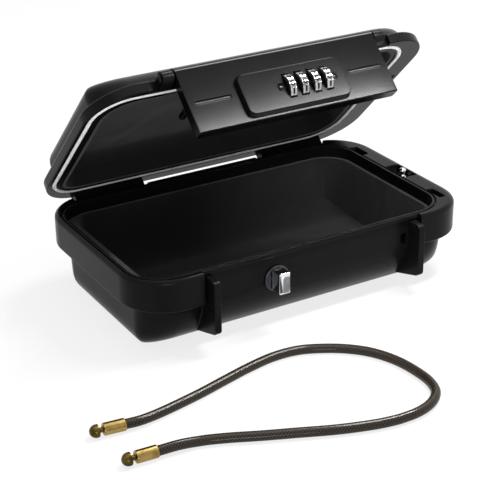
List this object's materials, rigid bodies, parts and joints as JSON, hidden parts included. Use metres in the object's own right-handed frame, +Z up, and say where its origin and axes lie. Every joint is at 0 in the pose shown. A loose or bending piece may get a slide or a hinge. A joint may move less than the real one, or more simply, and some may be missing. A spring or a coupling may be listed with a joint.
{
  "type": "portable car safe",
  "caption": "Small moulded travel safe with a gasketed hinged lid, a front latch flap with number wheels and a loose looped security cable, shown open.",
  "frame": {"origin": "under the middle of the base, on the flat of its bottom", "axes": "+Z up, +X to the right along the length of the case, the latch side faces -Y"},
  "size_m": [0.2972, 0.2791, 0.1629],
  "materials": {
    "shell": "satin black moulded",
    "lining": "dull felt",
    "seal": "matt white",
    "chrome": "bright",
    "steel": "plain",
    "dark_steel": "dark plated",
    "brass": "polished",
    "dark_brass": "aged",
    "cable_sheath": "clear coated braid"
  },
  "bodies": {
    "base": {"base_shell": "shell", "base_liner": "lining", "latch_stud": "chrome", "stud_collar": "dark_steel", "stud_nut": "steel", "cable_keeper_pin": "chrome", "hinge_pin": "steel", "cable_tube": "cable_sheath", "cable_ferrule_a": "brass", "cable_ferrule_b": "brass", "cable_tip_a": "dark_brass", "cable_tip_b": "dark_brass"},
    "lid": {"lid_shell": "shell", "lid_liner": "lining", "lid_seal": "seal", "flap_hinge_pin": "dark_steel"},
    "flap": {"flap_shell": "shell", "lock_cover": "shell", "lock_back_plate": "dark_steel", "detent_spring": "steel", "bolt_spring": "steel", "plate_screw_1": "steel", "plate_screw_2": "steel", "plate_screw_3": "steel", "plate_screw_4": "steel"},
    "bolt": {"lock_bolt": "steel", "dial_shaft": "steel"},
    "code_lever": {"code_set_lever": "steel"},
    "dial_1": {"dial_wheel_1": "chrome", "clutch_sleeve_1": "brass"},
    "dial_2": {"dial_wheel_2": "chrome", "clutch_sleeve_2": "brass"},
    "dial_3": {"dial_wheel_3": "chrome", "clutch_sleeve_3": "brass"},
    "dial_4": {"dial_wheel_4": "chrome", "clutch_sleeve_4": "brass"}
  },
  "joints": [
    {"name": "lid_hinge", "type": "hinge", "parent": "base", "child": "lid", "pos_m": [0, 0.0695, 0.0474], "axis": [-1, 0, 0], "range_deg": [-45, 57]},
    {"name": "flap_hinge", "type": "hinge", "parent": "lid", "child": "flap", "pos_m": [0, -0.02363, 0.15835], "axis": [-1, 0, 0], "range_deg": [0, 100]},
    {"name": "bolt_slide", "type": "slide", "parent": "flap", "child": "bolt", "axis": [1, 0, 0], "range_m": [0, 0.003], "stiffness_N_per_m": 300, "springref_m": -0.004, "deforming": ["bolt_spring"]},
    {"name": "code_lever_slide", "type": "slide", "parent": "flap", "child": "code_lever", "axis": [1, 0, 0], "range_m": [0, 0.004]},
    {"name": "dial_1_spin", "type": "hinge", "parent": "flap", "child": "dial_1", "pos_m": [-0.0039, -0.04399, 0.14533], "axis": [1, 0, 0], "continuous": true},
    {"name": "dial_2_spin", "type": "hinge", "parent": "flap", "child": "dial_2", "pos_m": [0.0047, -0.04399, 0.14533], "axis": [1, 0, 0], "continuous": true},
    {"name": "dial_3_spin", "type": "hinge", "parent": "flap", "child": "dial_3", "pos_m": [0.0133, -0.04399, 0.14533], "axis": [1, 0, 0], "continuous": true},
    {"name": "dial_4_spin", "type": "hinge", "parent": "flap", "child": "dial_4", "pos_m": [0.0219, -0.04399, 0.14533], "axis": [1, 0, 0], "continuous": true}
  ]
}
